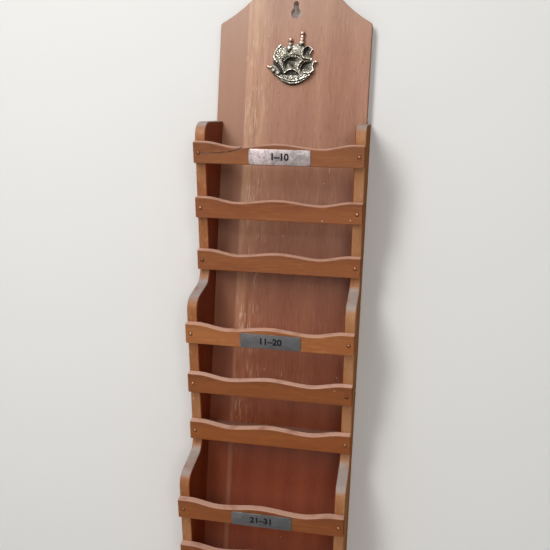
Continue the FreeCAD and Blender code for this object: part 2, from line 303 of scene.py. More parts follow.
def board_varnish():
    made, tree, shader = new_material("board_varnish", Specular_IOR_Level=0.0, Coat_Roughness=0.4)
    place = own_place(tree)
    across, _, height = axes(tree, place)
    inside = ramp(tree, across, BAND_EDGE - BAND_SOFT, BAND_EDGE + BAND_SOFT)
    beside = ramp(tree, across, BAND_EDGE, BAND_EDGE + STREAK_ZONE, 1.0, 0.0)
    upper = ramp(tree, height, FLECKS_END, FLECKS_FULL)
    streaks = times(tree, graded(tree, beside, 0.4, 0.15), inside, graded(tree, upper, 0.75, 0.25))
    tones = {"Pale": BOARD_PALE, "Middle": BOARD_MIDDLE, "Deep": BOARD_DEEP}
    wood = use_group(tree, timber, {"Grain": place, **tones, "Streaks": streaks, "Pores": BOARD_PORES})
    colour = tint(tree, graded(tree, inside, -BAND_COVER, BAND_COVER), wood["Color"], BAND_TINT)
    streaky = times(tree, beside, upper)
    soft = ramp(tree, grain_noise(tree, place, *SOFT_STREAKS), 0.25, 0.7)
    colour = tint(tree, times(tree, streaky, inside, soft, STREAK_GLOW), colour, BOARD_PALE)
    # Painted shade: the board is painted darker low down, in the pockets
    painted_shade = ramp(tree, height, FULL_SHADE_LOW, SHADE_SHEEN_SPLIT, 1.0, 0.0)
    colour = tint(tree, painted_shade, colour, LOW_SHADE_TINT, "MULTIPLY")
    # Painted sheen: the board is painted paler towards the top
    colour = tint(tree, ramp(tree, height, SHADE_SHEEN_SPLIT, SHEEN_TOP, 0.0, SHEEN_COVER), colour, SHEEN_TINT)
    dashes = ramp(tree, grain_noise(tree, place, *FLECK_DASHES), 0.52, 0.68)
    patches = ramp(tree, cloud(tree, place, 38.0, 2.0), 0.36, 0.62)
    where = graded(tree, upper, 0.07, times(tree, streaky, 0.8))
    colour = tint(tree, times(tree, dashes, patches, where, inside), colour, FLECK_TINT)
    off_line = calc(tree, "ABSOLUTE", calc(tree, "SUBTRACT", across, LINE_MIDDLE))
    colour = tint(tree, ramp(tree, off_line, 0.0, LINE_REACH, LINE_COVER, 0.0), colour, LINE_TINT)
    colour = wear(tree, colour, place, place, *BOARD_WEAR)
    finish_wood(tree, shader, wood, colour, BOARD_BUMP, BOARD_VARNISH)
    return made


def dress(node, material):
    """Gives a solid from the frame its finish."""
    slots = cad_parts[node].data.materials
    slots.clear()
    slots.append(material)


dress("backboard", board_varnish())

# Sides: two panels sawn from the same wood a shade browner, with the grain upright.
# Their front edges are shaped with a saw and sanded round; the board sits in a rabbet behind them.
SIDE_TONES = ((0.49, 0.272, 0.125, 1), (0.415, 0.196, 0.084, 1), (0.32, 0.11, 0.038, 1))
SIDE_VARNISH = 0.4
SIDE_INNER_X = 66 * MM
# Painted shade laid on the sides' inner faces
INNER_SHADE = (0.54, 0.225, 0.125, 1)
RAIL_BUMP = 0.3
RAIL_STREAKS = 0.45
RAIL_PORES = 0.3
RAIL_WEAR = (0.45, 0.1, 0.75, 1.4 * MM, 0.4)


def attribute(tree, name, output="Fac"):
    """What a mesh's points hold under a name."""
    return add(tree, "ShaderNodeAttribute", attribute_name=name).outputs[output]


def rail_varnish(name, colours, varnish, turned, noted=None):
    """The browner wood of sides, slats and floors; turned wood has its grain along the rack's width."""
    made, tree, shader = new_material(name, Specular_IOR_Level=0.0, Coat_Roughness=0.38)
    place = attribute(tree, noted, "Vector") if noted else own_place(tree)
    grain = place
    if turned:
        x, y, z = axes(tree, place)
        grain = vector(tree, y, z, x)
    tones = dict(zip(("Pale", "Middle", "Deep"), colours))
    drawn = {"Grain": grain, **tones, "Streaks": RAIL_STREAKS, "Pores": RAIL_PORES}
    wood = use_group(tree, timber, drawn)
    colour = wear(tree, wood["Color"], grain, place, *RAIL_WEAR)
    finish_wood(tree, shader, wood, colour, RAIL_BUMP, varnish)
    return made


def overlay(material, amount, over, mode="MIX", socket="Base Color"):
    """Lays a colour over what already feeds a material's shader."""
    tree = material.node_tree
    shader = tree.nodes["Principled BSDF"]
    under = shader.inputs[socket].links[0].from_socket
    feed(tree, shader, {socket: tint(tree, amount, under, over, mode)})


def shade_inner_faces(material):
    """Darkens the faces that look into the pockets with painted shade, for the shadow that falls there."""
    tree = material.node_tree
    across = calc(tree, "ABSOLUTE", axes(tree, own_place(tree))["X"])
    inside = ramp(tree, across, SIDE_INNER_X - 0.4 * MM, SIDE_INNER_X + 0.6 * MM, 1.0, 0.0)
    overlay(material, inside, INNER_SHADE, "MULTIPLY")


side_varnish = rail_varnish("side_varnish", SIDE_TONES, SIDE_VARNISH, turned=False)
shade_inner_faces(side_varnish)
for hand in ("left", "right"):
    dress(hand + "_side", side_varnish)

# Pocket floors: three plain boards between the sides, grain across, pinned from behind.
# Dust and paper lint lie on their tops, where no cloth reaches, and on the sides' steps, where the dust
# also serves as a painted sheen.
FLOOR_TONES = ((0.48, 0.225, 0.10, 1), (0.385, 0.15, 0.063, 1), (0.29, 0.098, 0.04, 1))
FLOOR_VARNISH = 0.4
# Dust colour, which on the sides' steps also serves as a painted sheen
DUST_AND_SHEEN = (0.46, 0.437, 0.42, 1)
FLOOR_DUST = 0.2
STEP_DUST_AND_SHEEN = 0.7
NO_COAT = (0, 0, 0, 1)
POCKETS = ("upper", "middle", "lower")


def dust_and_sheen_group():
    """Dust that settles on what faces up, thicker in patches, which also serves as a painted sheen there.
    """
    tree, given, end = new_group("dust_and_sheen", {"Place": "Vector", "Depth": "Float"}, {"Mask": "Float"})
    upward = ramp(tree, axes(tree, facing(tree))["Z"], 0.35, 0.8)
    patches = ramp(tree, cloud(tree, given["Place"], 70.0, 4.0), 0.05, 0.55)
    feed(tree, end, {"Mask": times(tree, upward, patches, given["Depth"])})
    return tree


def lay_dust_and_sheen(material, depth, tone):
    """Lays dust, or the paleness of rubbed wood, together with a painted sheen, on what faces up, and
    takes the varnish's shine away.
    """
    tree = material.node_tree
    mask = use_group(tree, dust_and_sheen, {"Place": own_place(tree), "Depth": depth})["Mask"]
    overlay(material, mask, tone)
    overlay(material, mask, NO_COAT, socket="Coat Weight")


dust_and_sheen = dust_and_sheen_group()
floor_varnish = rail_varnish("floor_varnish", FLOOR_TONES, FLOOR_VARNISH, turned=True)
lay_dust_and_sheen(floor_varnish, FLOOR_DUST, DUST_AND_SHEEN)
lay_dust_and_sheen(side_varnish, STEP_DUST_AND_SHEEN, DUST_AND_SHEEN)
for pocket in POCKETS:
    dress(pocket + "_pocket_floor", floor_varnish)

# Back pins: flat-headed steel pins driven from behind, through the board into the sides and the floors.
# Their heads lie flush with the board's back; the steel has dulled, with a little rust.
PIN_STEEL = (0.42, 0.42, 0.43, 1)
PIN_RUST = (0.20, 0.10, 0.055, 1)


def dull_steel():
    made, tree, shader = new_material("dull_steel", Metallic=0.9)
    rust = ramp(tree, cloud(tree, own_place(tree), 600.0, 4.0), 0.52, 0.66)
    colour = tint(tree, rust, PIN_STEEL, PIN_RUST)
    feed(tree, shader, {"Base Color": colour, "Roughness": graded(tree, rust, 0.35, 0.35)})
    return made


dress("back_pins", dull_steel())

# Front slats: nine strips 19 mm wide and 7 mm thick, their top edges sawn to the same double wave.
# The edges are sanded round by hand, so no slat is quite even; each lies on the sides' leaning fronts.
# Each comes from another strip of wood, so it has its own tone; letters have rubbed its top edge pale,
# with a painted sheen laid on the top as well, and a painted highlight lightens its lower edge.
SLAT_WIDTH = 19 * MM
SLAT_THICK = 7 * MM
SLAT_STEP = 49.5 * MM
SLAT_SIZES = {
    "Length": 150 * MM, "Width": SLAT_WIDTH, "Thickness": SLAT_THICK, "Wave Dip": 4.2 * MM,
    "Crest Dip": 0.9 * MM, "Trough": 37.5 * MM, "Wave Half": 66 * MM, "Unevenness": 0.12 * MM,
    "Lower Edge Highlight": 1.16,
}
SLAT_EASE = 0.95 * MM
EASE_STEPS = 3
EASE_ABOVE = math.radians(40)
POCKET_PITCH = 160 * MM
FRONT_TILT = math.radians(16.3)
FIRST_SLAT = Vector((0, -67.5, -127.5)) * MM
ROWS = ("top", "middle", "bottom")
SLAT_COLOURS = ((0.385, 0.149, 0.045, 1), (0.30, 0.098, 0.028, 1), (0.235, 0.065, 0.017, 1))
SLAT_VARNISH = 0.76
SLAT_TONES = (
    (0.80, 0.84, 0.95), (0.83, 0.79, 0.78), (0.89, 0.87, 0.85),
    (1.15, 1.22, 1.1), (0.73, 0.61, 0.37), (0.84, 0.71, 0.44),
    (0.76, 0.64, 0.36), (0.82, 0.7, 0.42), (0.77, 0.66, 0.4),
)
# How far each slat's top is rubbed pale, together with a painted sheen on it
SLAT_RUBBED_AND_SHEEN = (0.62, 0.62, 0.62, 0.66, 0.78, 0.72, 0.62, 0.62, 0.62)
RUBBED_AND_SHEEN_TOP = (0.87, 0.55, 0.42, 1)
STRIP_APART = 0.31


def note(tree, geometry, name, value, kind="FLOAT_VECTOR", domain="POINT"):
    """Keeps a value on a geometry under a name, for its material to read."""
    kept = {"Geometry": geometry, "Name": name, "Value": value}
    return add(tree, "GeometryNodeStoreNamedAttribute", kept, data_type=kind, domain=domain).outputs[0]


def end_tree(tree, end, geometry, material):
    """Ends a geometry tree: its instances become real and get their material."""
    real = add(tree, "GeometryNodeRealizeInstances", {0: geometry}).outputs[0]
    dressed = add(tree, "GeometryNodeSetMaterial", {"Geometry": real, "Material": material}).outputs[0]
    feed(tree, end, {"Geometry": dressed})


def slat_tree():
    """Geometry nodes for one slat in its own frame: back on y = 0, the ends' top edge on z = 0."""
    wanted = dict.fromkeys((*SLAT_SIZES, "Seed", "Rubbed And Sheen"), "Float")
    wanted |= {"Tone": "Vector", "Material": "Material"}
    tree, given, end = new_group("wavy_slat", wanted, {"Geometry": "Geometry"}, "GeometryNodeTree")
    bulk = vector(tree, given["Length"], given["Thickness"], given["Width"])
    counts = {"Vertices X": 121, "Vertices Y": 5, "Vertices Z": 9}
    blank = add(tree, "GeometryNodeMeshCube", {"Size": bulk, **counts}).outputs["Mesh"]
    x, y, z = axes(tree, add(tree, "GeometryNodeInputPosition").outputs[0])
    away = calc(tree, "ABSOLUTE", x)
    sunk = ramp(tree, away, 0.0, given["Trough"], given["Crest Dip"], given["Wave Dip"])
    raised = ramp(tree, away, given["Trough"], given["Wave Half"], 0.0, given["Wave Dip"])
    share = calc(tree, "ADD", calc(tree, "DIVIDE", z, given["Width"]), 0.5)
    tall = calc(tree, "ADD", given["Width"], calc(tree, "SUBTRACT", raised, sunk))
    new_z = calc(tree, "SUBTRACT", times(tree, share, tall), given["Width"])
    new_y = calc(tree, "SUBTRACT", y, calc(tree, "DIVIDE", given["Thickness"], 2.0))
    level = vector(tree, x, new_y, new_z)
    own = vector(tree, *[given["Seed"]] * 3)
    grain = add(tree, "ShaderNodeVectorMath", {0: level, 1: own}, operation="ADD").outputs[0]
    worn = times(tree, cloud(tree, grain, 55.0, 2.0), given["Unevenness"])
    inward = times(tree, calc(tree, "SUBTRACT", share, 0.5), -2.0)
    drop = vector(tree, 0.0, worn, times(tree, worn, inward))
    front = calc(tree, "LESS_THAN", y, 0.0)
    moved = add(tree, "ShaderNodeVectorMath", {0: drop, "Scale": front}, operation="SCALE").outputs[0]
    placed = {"Geometry": blank, "Position": level, "Offset": moved}
    slat = add(tree, "GeometryNodeSetPosition", placed).outputs[0]
    # Painted highlight: the tone is lighter towards the slat's lower edge
    lower = ramp(tree, share, 0.05, 0.38, given["Lower Edge Highlight"], 1.0)
    lit = {0: given["Tone"], "Scale": lower}
    tone = add(tree, "ShaderNodeVectorMath", lit, operation="SCALE").outputs[0]
    slat = note(tree, slat, "slat_grain", grain)
    slat = note(tree, slat, "slat_tone", tone)
    slat = note(tree, slat, "slat_rubbed", given["Rubbed And Sheen"], "FLOAT")
    end_tree(tree, end, slat, given["Material"])
    return tree


def add_object(name, data):
    """A new object in the scene, at the origin."""
    made = bpy.data.objects.new(name, data)
    bpy.context.scene.collection.objects.link(made)
    return made


def baked(holder):
    """The plain mesh that an object and its modifiers make."""
    bpy.context.view_layer.update()
    return bpy.data.meshes.new_from_object(holder.evaluated_get(bpy.context.evaluated_depsgraph_get()))


def grow(name, tree, values, soften=None, start=()):
    """Runs a geometry tree on some starting points and keeps the result as a plain mesh."""
    seeds = bpy.data.meshes.new(name)
    seeds.from_pydata(start, [], [])
    holder = add_object(name, seeds)
    nodes = holder.modifiers.new("shape", "NODES")
    nodes.node_group = tree
    for socket in tree.interface.items_tree:
        if socket.in_out == "INPUT" and socket.name in values:
            nodes[socket.identifier] = values[socket.name]
    if soften:
        ease = holder.modifiers.new("eased_edges", "BEVEL")
        ease.width = soften
        ease.segments = EASE_STEPS
        ease.limit_method = "ANGLE"
        ease.angle_limit = EASE_ABOVE
        ease.harden_normals = True
    made = baked(holder)
    holder.modifiers.clear()
    holder.data = made
    return holder


def on_slat(pocket, row):
    """Where a slat's own frame stands in the rack."""
    slide = row * SLAT_STEP
    top = FIRST_SLAT + Vector((0, slide * math.sin(FRONT_TILT), -slide * math.cos(FRONT_TILT)))
    top.z -= pocket * POCKET_PITCH
    return Matrix.Translation(top) @ Matrix.Rotation(FRONT_TILT, 4, "X")


def settle(piece, node):
    """Fixes a finished piece to the rack in place of its solid."""
    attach(piece, "root")
    if node:
        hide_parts(node)


slat_varnish = rail_varnish("slat_varnish", SLAT_COLOURS, SLAT_VARNISH, turned=True, noted="slat_grain")
overlay(slat_varnish, 1.0, attribute(slat_varnish.node_tree, "slat_tone", "Vector"), "MULTIPLY")
# Rubbed wood and a painted sheen on the slats' tops
lay_dust_and_sheen(slat_varnish, attribute(slat_varnish.node_tree, "slat_rubbed"), RUBBED_AND_SHEEN_TOP)
wavy_slat = slat_tree()
slat_values = {**SLAT_SIZES, "Material": slat_varnish}
for pocket, pocket_name in enumerate(POCKETS):
    for row, row_name in enumerate(ROWS):
        strip = row + len(ROWS) * pocket
        own = {"Seed": STRIP_APART * (1 + strip), "Tone": SLAT_TONES[strip], "Rubbed And Sheen": SLAT_RUBBED_AND_SHEEN[strip]}
        slat = grow(f"wavy_slat_{pocket_name}_{row_name}", wavy_slat, {**slat_values, **own}, SLAT_EASE)
        slat.data.transform(on_slat(pocket, row))
        settle(slat, f"{pocket_name}_pocket_{row_name}_slat")

# Split in the first slat: the wood has opened along the grain from its left nail up to the wavy edge.
# The crack is a thin wedge taken out of the slat, with a chip gone where it comes out at the top; its
# inside is painted near black, a painted shade.
# Points along the crack: x, z and half the gape, in millimetres in the slat's own frame
CRACK_RUN = (
    (-69.0, -9.3, 0.15), (-61.0, -9.6, 0.26), (-52.0, -8.9, 0.34), (-44.0, -8.2, 0.36),
    (-37.0, -6.6, 0.4), (-31.5, -4.0, 0.7), (-29.5, -2.2, 1.1),
)
CRACK_DEEP = 3.2 * MM
BLADE_OVER = 1 * MM
# Painted shade inside the crack: its fibres are painted near black
CRACK_SHADE_DARK = (0.03, 0.011, 0.006, 1)
CRACK_SHADE_FIBRE = (0.09, 0.038, 0.02, 1)
SHARP_ABOVE = math.radians(35)


def close_mesh(name, work):
    """Ends the work on a closed form: its faces look outwards, and it becomes a mesh."""
    bmesh.ops.recalc_face_normals(work, faces=work.faces)
    mesh = bpy.data.meshes.new(name)
    work.to_mesh(mesh)
    work.free()
    return mesh


def crack_blade():
    """A closed blade along the crack: two edges apart at the slat's face, meeting at a line inside it."""
    work = bmesh.new()
    face = -SLAT_THICK - BLADE_OVER
    rows = []
    for x, z, gape in CRACK_RUN:
        corners = ((face, gape), (face, -gape), (-SLAT_THICK + CRACK_DEEP, 0))
        rows.append([work.verts.new((x * MM, y, (z + lift) * MM)) for y, lift in corners])
    for near, far in zip(rows, rows[1:]):
        for i in range(len(near)):
            work.faces.new((near[i], near[i - 1], far[i - 1], far[i]))
    work.faces.new(rows[0])
    work.faces.new(reversed(rows[-1]))
    return close_mesh("crack_blade", work)


def crack_shade():
    """Torn fibres inside the split, painted near black: painted shade in the crack."""
    made, tree, shader = new_material("crack_shade", Roughness=0.9)
    fibres = ramp(tree, cloud(tree, own_place(tree), 1400.0, 2.0), 0.4, 0.75)
    feed(tree, shader, {"Base Color": tint(tree, fibres, CRACK_SHADE_DARK, CRACK_SHADE_FIBRE)})
    return made


def split_slat(slat, place):
    """Cuts the crack into a slat, and gives the points on its lips the grain of the wood round them."""
    blade = add_object("crack_blade", crack_blade())
    blade.data.transform(place)
    blade.data.materials.append(crack_shade())
    cut = slat.modifiers.new("crack", "BOOLEAN")
    cut.operation = "DIFFERENCE"
    cut.solver = "EXACT"
    cut.material_mode = "TRANSFER"
    cut.object = blade
    opened = baked(slat)
    slat.modifiers.clear()
    slat.data = opened
    bpy.data.objects.remove(blade)
    opened.attributes.remove(opened.attributes["custom_normal"])
    opened.shade_smooth()
    opened.set_sharp_from_angle(angle=SHARP_ABOVE)
    tones = opened.attributes["slat_tone"].data
    grains = opened.attributes["slat_grain"].data
    for vert in opened.vertices:
        if not any(tones[vert.index].vector):
            tones[vert.index].vector = SLAT_TONES[0]
            grains[vert.index].vector = place.inverted() @ vert.co + Vector((STRIP_APART,) * 3)


split_slat(bpy.data.objects["wavy_slat_upper_top"], on_slat(0, 0))

# Slat nails: dome-headed brass nails, one through each end of every slat into the side behind it.
# They were driven by hand, so the heads lean a little and some have gone darker than others.
NAIL_X = 70.25 * MM
NAIL_SINK = 0.1 * MM
# From the crown to the point: radius and height over the slat's face, in millimetres
NAIL_PROFILE = (
    (0.0, 1.3), (0.75, 1.16), (1.35, 0.8), (1.75, 0.3), (1.9, -0.05),
    (0.8, -0.1), (0.8, -15.0), (0.0, -17.0),
)
NAIL_SIDES = 20
NAIL_LEAN = math.radians(5)
NAIL_SEED = 7
NAIL_BRIGHT = (0.40, 0.185, 0.09, 1)
NAIL_DARK = (0.10, 0.05, 0.025, 1)


def lathe(name, profile, sides):
    """A turned form: the profile goes round Z, and each point notes how near the rim it is."""
    work = bmesh.new()
    rim = work.verts.layers.float.new("rim")
    widest = max(radius for radius, _ in profile)
    rings = []
    for radius, height in profile:
        turns = sides if radius else 1
        angles = [2 * math.pi * i / turns for i in range(turns)]
        round_z = [(radius * math.cos(a), radius * math.sin(a), height) for a in angles]
        rings.append([work.verts.new(point) for point in round_z])
        for vert in rings[-1]:
            vert[rim] = radius / widest
    for upper, lower in zip(rings, rings[1:]):
        for i in range(sides):
            near = (upper[i % len(upper)], lower[i % len(lower)])
            far = (lower[(i + 1) % len(lower)], upper[(i + 1) % len(upper)])
            work.faces.new(list(dict.fromkeys(near + far))).smooth = True
    return close_mesh(name, work)


def chance(tree, seed, low=0.0, high=1.0):
    """A random number for each nail."""
    return add(tree, "FunctionNodeRandomValue", {2: low, 3: high, "Seed": seed}).outputs[1]


def nail_tree():
    """Geometry nodes that set a nail on each point, leaning a little and spun at random."""
    wanted = {"Geometry": "Geometry", "Nail": "Object", "Tilt": "Float", "Lean": "Float", "Seed": "Int",
              "Material": "Material"}
    tree, given, end = new_group("driven_nails", wanted, {"Geometry": "Geometry"}, "GeometryNodeTree")
    nail = add(tree, "GeometryNodeObjectInfo", {"Object": given["Nail"]}).outputs["Geometry"]
    least = times(tree, given["Lean"], -1.0)
    lean = [chance(tree, calc(tree, "ADD", given["Seed"], i), least, given["Lean"]) for i in (0, 1)]
    turned = calc(tree, "ADD", calc(tree, "ADD", given["Tilt"], math.pi / 2), lean[0])
    placed = {"Points": given["Geometry"], "Instance": nail, "Rotation": vector(tree, turned, lean[1])}
    nails = add(tree, "GeometryNodeInstanceOnPoints", placed).outputs[0]
    spin = vector(tree, z=chance(tree, given["Seed"], high=2 * math.pi))
    nails = add(tree, "GeometryNodeRotateInstances", {"Instances": nails, "Rotation": spin}).outputs[0]
    nails = note(tree, nails, "tarnish", chance(tree, given["Seed"]), "FLOAT", "INSTANCE")
    end_tree(tree, end, nails, given["Material"])
    return tree


def nail_brass():
    made, tree, shader = new_material("nail_brass", Metallic=1.0)
    spots = cloud(tree, own_place(tree), 900.0, 3.0)
    spotted = ramp(tree, graded(tree, attribute(tree, "tarnish"), 0.35, spots), 0.5, 0.95)
    # Dark grime round the rim of the head, together with painted shade where the head meets the wood
    rim_grime_and_shade = ramp(tree, attribute(tree, "rim"), 0.5, 0.95, 0.0, 0.85)
    dark = calc(tree, "MAXIMUM", spotted, rim_grime_and_shade)
    colour = tint(tree, dark, NAIL_BRIGHT, NAIL_DARK)
    feed(tree, shader, {"Base Color": colour, "Roughness": graded(tree, dark, 0.3, 0.3)})
    return made


nail_blank = bpy.data.objects.new("nail_blank", lathe("nail_blank", NAIL_PROFILE, NAIL_SIDES))
nail_blank.data.transform(Matrix.Scale(MM, 4))
nail_spots = [
    on_slat(pocket, row) @ Vector((x, NAIL_SINK - SLAT_THICK, -SLAT_WIDTH / 2))
    for pocket in range(len(POCKETS)) for row in range(len(ROWS)) for x in (-NAIL_X, NAIL_X)
]
nail_values = {
    "Nail": nail_blank, "Tilt": FRONT_TILT, "Lean": NAIL_LEAN, "Seed": NAIL_SEED, "Material": nail_brass(),
}
nails = grow("driven_nails", nail_tree(), nail_values, start=nail_spots)
bpy.data.objects.remove(nail_blank)
settle(nails, "slat_nails")

# Label plates: three thin aluminium plates with sheared, slightly rolled edges, stuck on the top slats.
# The metal is painted dark, a painted reflection, and the first has lost much of its brushed finish to
# pale blotches, laid on heavily as a painted bright reflection; each has plain day numbers printed on it.
PLATE_WIDTH = 54 * MM
PLATE_HEIGHT = 13.5 * MM
PLATE_THICK = 0.8 * MM
PLATE_ROUND = 2 * MM
PLATE_ROLL = 0.25 * MM
PLATE_MIDDLE = Vector((2, -7, -11.45)) * MM
CORNER_STEPS = 6
PLATE_NUMBERS = ("1–10", "11–20", "21–31")
NUMBER_SIZE = 8.2 * MM
NUMBER_RAISE = 0.03 * MM
NUMBER_BOLD = 0.34 * MM
INK = (0.012, 0.012, 0.014, 1)
INK_WORN = (0.08, 0.08, 0.08, 1)
# Pale tint for patches and worn rims; on the first plate the patches are also a painted bright reflection
PLATE_PALE = (0.76, 0.63, 0.61, 1)
# Painted dark reflection: the colour of the plates' metal
PLATE_DARK_REFLECTION = (0.115, 0.12, 0.125, 1)
PLATE_PIT = (0.16, 0.16, 0.17, 1)
PLATE_BRUSHING = (0.02, 2600.0, 2.0)
PLATE_WORST = -16 * MM
PLATE_BEST = 6 * MM
PLATE_RIM = 0.5 * MM
PLATE_DENT = 0.05 * MM
LITTLE_BLOTCHED = 0.12
BLOTCHED_AND_REFLECTING = 1.0


def plate_ring(shrink, y):
    """The plate's outline, drawn in by an amount, at a depth in front of the slat."""
    ring = []
    radius = PLATE_ROUND - shrink
    for quarter, (side, up) in enumerate(((1, 1), (-1, 1), (-1, -1), (1, -1))):
        for step in range(CORNER_STEPS + 1):
            turn = math.pi / 2 * (quarter + step / CORNER_STEPS)
            x = side * (PLATE_WIDTH / 2 - PLATE_ROUND) + radius * math.cos(turn)
            z = up * (PLATE_HEIGHT / 2 - PLATE_ROUND) + radius * math.sin(turn)
            ring.append(PLATE_MIDDLE + Vector((x, y, z)))
    return ring


def plate_mesh():
    """A flat plate whose front edge is rolled round."""
    work = bmesh.new()
    edge = PLATE_ROLL - PLATE_THICK
    third = PLATE_ROLL / 3
    levels = ((0, 0), (0, edge), (third, third - PLATE_THICK), (PLATE_ROLL, -PLATE_THICK))
    rings = [[work.verts.new(point) for point in plate_ring(shrink, y)] for shrink, y in levels]
    for near, far in zip(rings, rings[1:]):
        for i in range(len(near)):
            work.faces.new((near[i - 1], near[i], far[i], far[i - 1])).smooth = True
    work.faces.new(rings[0])
    work.faces.new(rings[-1])
    mesh = close_mesh("rolled_plate", work)
    mesh.set_sharp_from_angle(angle=SHARP_ABOVE)
    return mesh


def plate_metal(name, blotched_and_reflecting):
    """Dulled, brushed aluminium painted dark, a painted reflection; pale patches where its finish is gone
    also paint a bright reflection where they are laid on heavily.
    """
    made, tree, shader = new_material(name, Metallic=0.85)
    place = own_place(tree)
    x, y, z = axes(tree, place)
    brushed = grain_noise(tree, vector(tree, y, z, x), *PLATE_BRUSHING)
    fine = cloud(tree, place, 520.0, 4.0)
    mottle = graded(tree, cloud(tree, place, 95.0, 5.0), 0.6, times(tree, fine, 0.4))
    fuller = ramp(tree, x, PLATE_WORST, PLATE_BEST, 1.02, 0.62)
    # Pale patches: lost finish, and on the first plate a painted bright reflection as well
    pale_patches = times(tree, ramp(tree, mottle, 0.42, 0.58, 0.4, 1.0), fuller, blotched_and_reflecting)
    colour = shaded(tree, PLATE_DARK_REFLECTION, graded(tree, brushed, 0.5, 0.75))
    colour = tint(tree, pale_patches, colour, PLATE_PALE)
    colour = tint(tree, ramp(tree, fine, 0.60, 0.68, 0.0, 0.55), colour, PLATE_PIT)
    rim = use_group(tree, worn_edge, {"Place": place, "Reach": PLATE_RIM})["Mask"]
    colour = tint(tree, rim, colour, PLATE_PALE)
    feed(tree, shader, {"Base Color": colour, "Roughness": graded(tree, brushed, 0.2, 0.3)})
    feed(tree, shader, {"Normal": relief(tree, mottle, 0.25, PLATE_DENT)})
    return made


def printed_ink():
    made, tree, shader = new_material("printed_ink", Specular_IOR_Level=0.15)
    worn = cloud(tree, own_place(tree), 800.0, 3.0)
    colour = tint(tree, ramp(tree, worn, 0.66, 0.8), INK, INK_WORN)
    feed(tree, shader, {"Base Color": colour, "Roughness": graded(tree, worn, 0.3, 0.55)})
    return made


def number_mesh(body):
    """Printed figures lying on the plate's face, centred on it."""
    text = bpy.data.curves.new("plate_numbers", "FONT")
    text.body = body
    text.size = NUMBER_SIZE
    text.extrude = NUMBER_RAISE
    text.offset = NUMBER_BOLD
    text.align_x = "CENTER"
    text.align_y = "CENTER"
    holder = add_object("plate_numbers", text)
    mesh = baked(holder)
    bpy.data.objects.remove(holder)
    mesh.transform(Matrix.Rotation(math.pi / 2, 4, "X"))
    mesh.transform(Matrix.Translation(PLATE_MIDDLE - Vector((0, PLATE_THICK, 0))))
    return mesh


def add_piece(name, mesh, material):
    """Puts a finished mesh in the scene under a name."""
    mesh.materials.clear()
    mesh.materials.append(material)
    return add_object(name, mesh)


ink = printed_ink()
bare_plate = plate_metal("plate_brushed", LITTLE_BLOTCHED)
blotched_reflecting_plate = plate_metal("plate_blotched_reflecting", BLOTCHED_AND_REFLECTING)
for pocket, pocket_name in enumerate(POCKETS):
    finish = bare_plate if pocket else blotched_reflecting_plate
    plate = add_piece("rolled_plate_" + pocket_name, plate_mesh(), finish)
    numbers = add_piece("plate_numbers_" + pocket_name, number_mesh(PLATE_NUMBERS[pocket]), ink)
    plate.data.transform(on_slat(pocket, 0))
    numbers.data.transform(on_slat(pocket, 0))
    settle(plate, pocket_name + "_label_plate")
    settle(numbers, None)

# Ship emblem: one brass casting of a galleon under sail, glued to the board above the pockets. Two sails
# swell to the front and three show their hollow side. Faces turned up to the left carry a painted
# highlight, faces turned down to the right painted shade; tips are coppery, and a dull crust goes black in
# hollows and low by the board, deepened there by painted shade. Forms are in millimetres from the emblem's
# middle.
EMBLEM_AT = Vector((-0.7, -9.5, -42.2)) * MM
EMBLEM_GRAIN = 0.27 * MM
EMBLEM_SINK = 0.6
CAST_PEBBLE = 0.11 * MM
PEBBLE_SCALE = 800
FINE_PEBBLE_SCALE = 1900
SOFTEN_ROUNDS = 2
HOLLOW_ROUNDS = 45
OUTLINE_STEPS = 9
BALL_SIDES = 12
BALL_RINGS = 8
# Outlines hold a corner, a point on the curve to the next corner, and so on round
FORE_SAIL = ((-11.6, 12.2), (-17.2, 5.5), (-17.8, -1.2), (-13.4, -5.0), (-9.3, -10.6), (-9.3, -3.5),
             (-4.4, 1.6), (-3.0, 5.5), (-3.0, 9.4), (-7.4, 10.6))
TOP_SAIL = ((-3.4, 9.2), (3.0, 12.8), (10.4, 12.0), (10.6, 6.0), (9.6, -0.4), (3.4, 2.4),
            (-4.2, 1.4), (-3.6, 5.0))
MAIN_SAIL = ((-6.8, -14.4), (-8.9, -4.2), (-1.0, 2.0), (5.5, 1.3), (10.9, -2.2), (6.6, -7.4),
             (8.0, -15.6), (0.5, -10.8))
AFTER_TOP = ((10.0, -0.4), (9.0, 7.0), (14.5, 11.3), (17.0, 9.9), (18.9, 7.6), (16.4, 3.0),
             (19.4, -1.9), (15.0, -0.9))
AFTER_SAIL = ((7.4, -16.0), (7.9, -8.0), (13.0, -2.5), (17.0, -2.2), (21.0, -3.1), (19.4, -8.0),
              (19.4, -14.0), (13.0, -15.8))
HULL = ((-15.4, -15.4), (1.0, -24.5), (18.0, -14.9), (1.5, -15.0))
STEM = ((-21.7, -6.2), (-19.6, -12.6), (-13.0, -17.2), (-9.3, -15.0), (-12.0, -10.8), (-16.2, -6.4))
KEEL_WEB = ((-8.0, -15.8), (0.5, -10.4), (9.0, -16.2), (1.0, -17.5))
BOW_WEB = ((-18.4, -1.6), (-12.0, -3.5), (-6.2, -9.0), (-6.6, -13.0), (-9.0, -15.5), (-17.0, -9.0))
WEB_LEVEL = 0.9


def dome(rim, crown):
    """Levels of a form that swells from its rim to its middle."""
    return [(t, rim + (crown - rim) * math.sqrt(1 - t * t)) for t in (1, 0.97, 0.9, 0.8, 0.65, 0.45, 0.2)]


def bowl(rim, deep):
    """Levels of a form hollowed inside a rounded rim."""
    edge = [(1, rim - 0.7), (0.985, rim - 0.2), (0.95, rim), (0.9, rim - 0.2)]
    lip = 0.86
    slope = [(t, deep + (rim - 0.4 - deep) * (t / lip) ** 1.8) for t in (lip, 0.76, 0.62, 0.44, 0.2)]
    return edge + slope


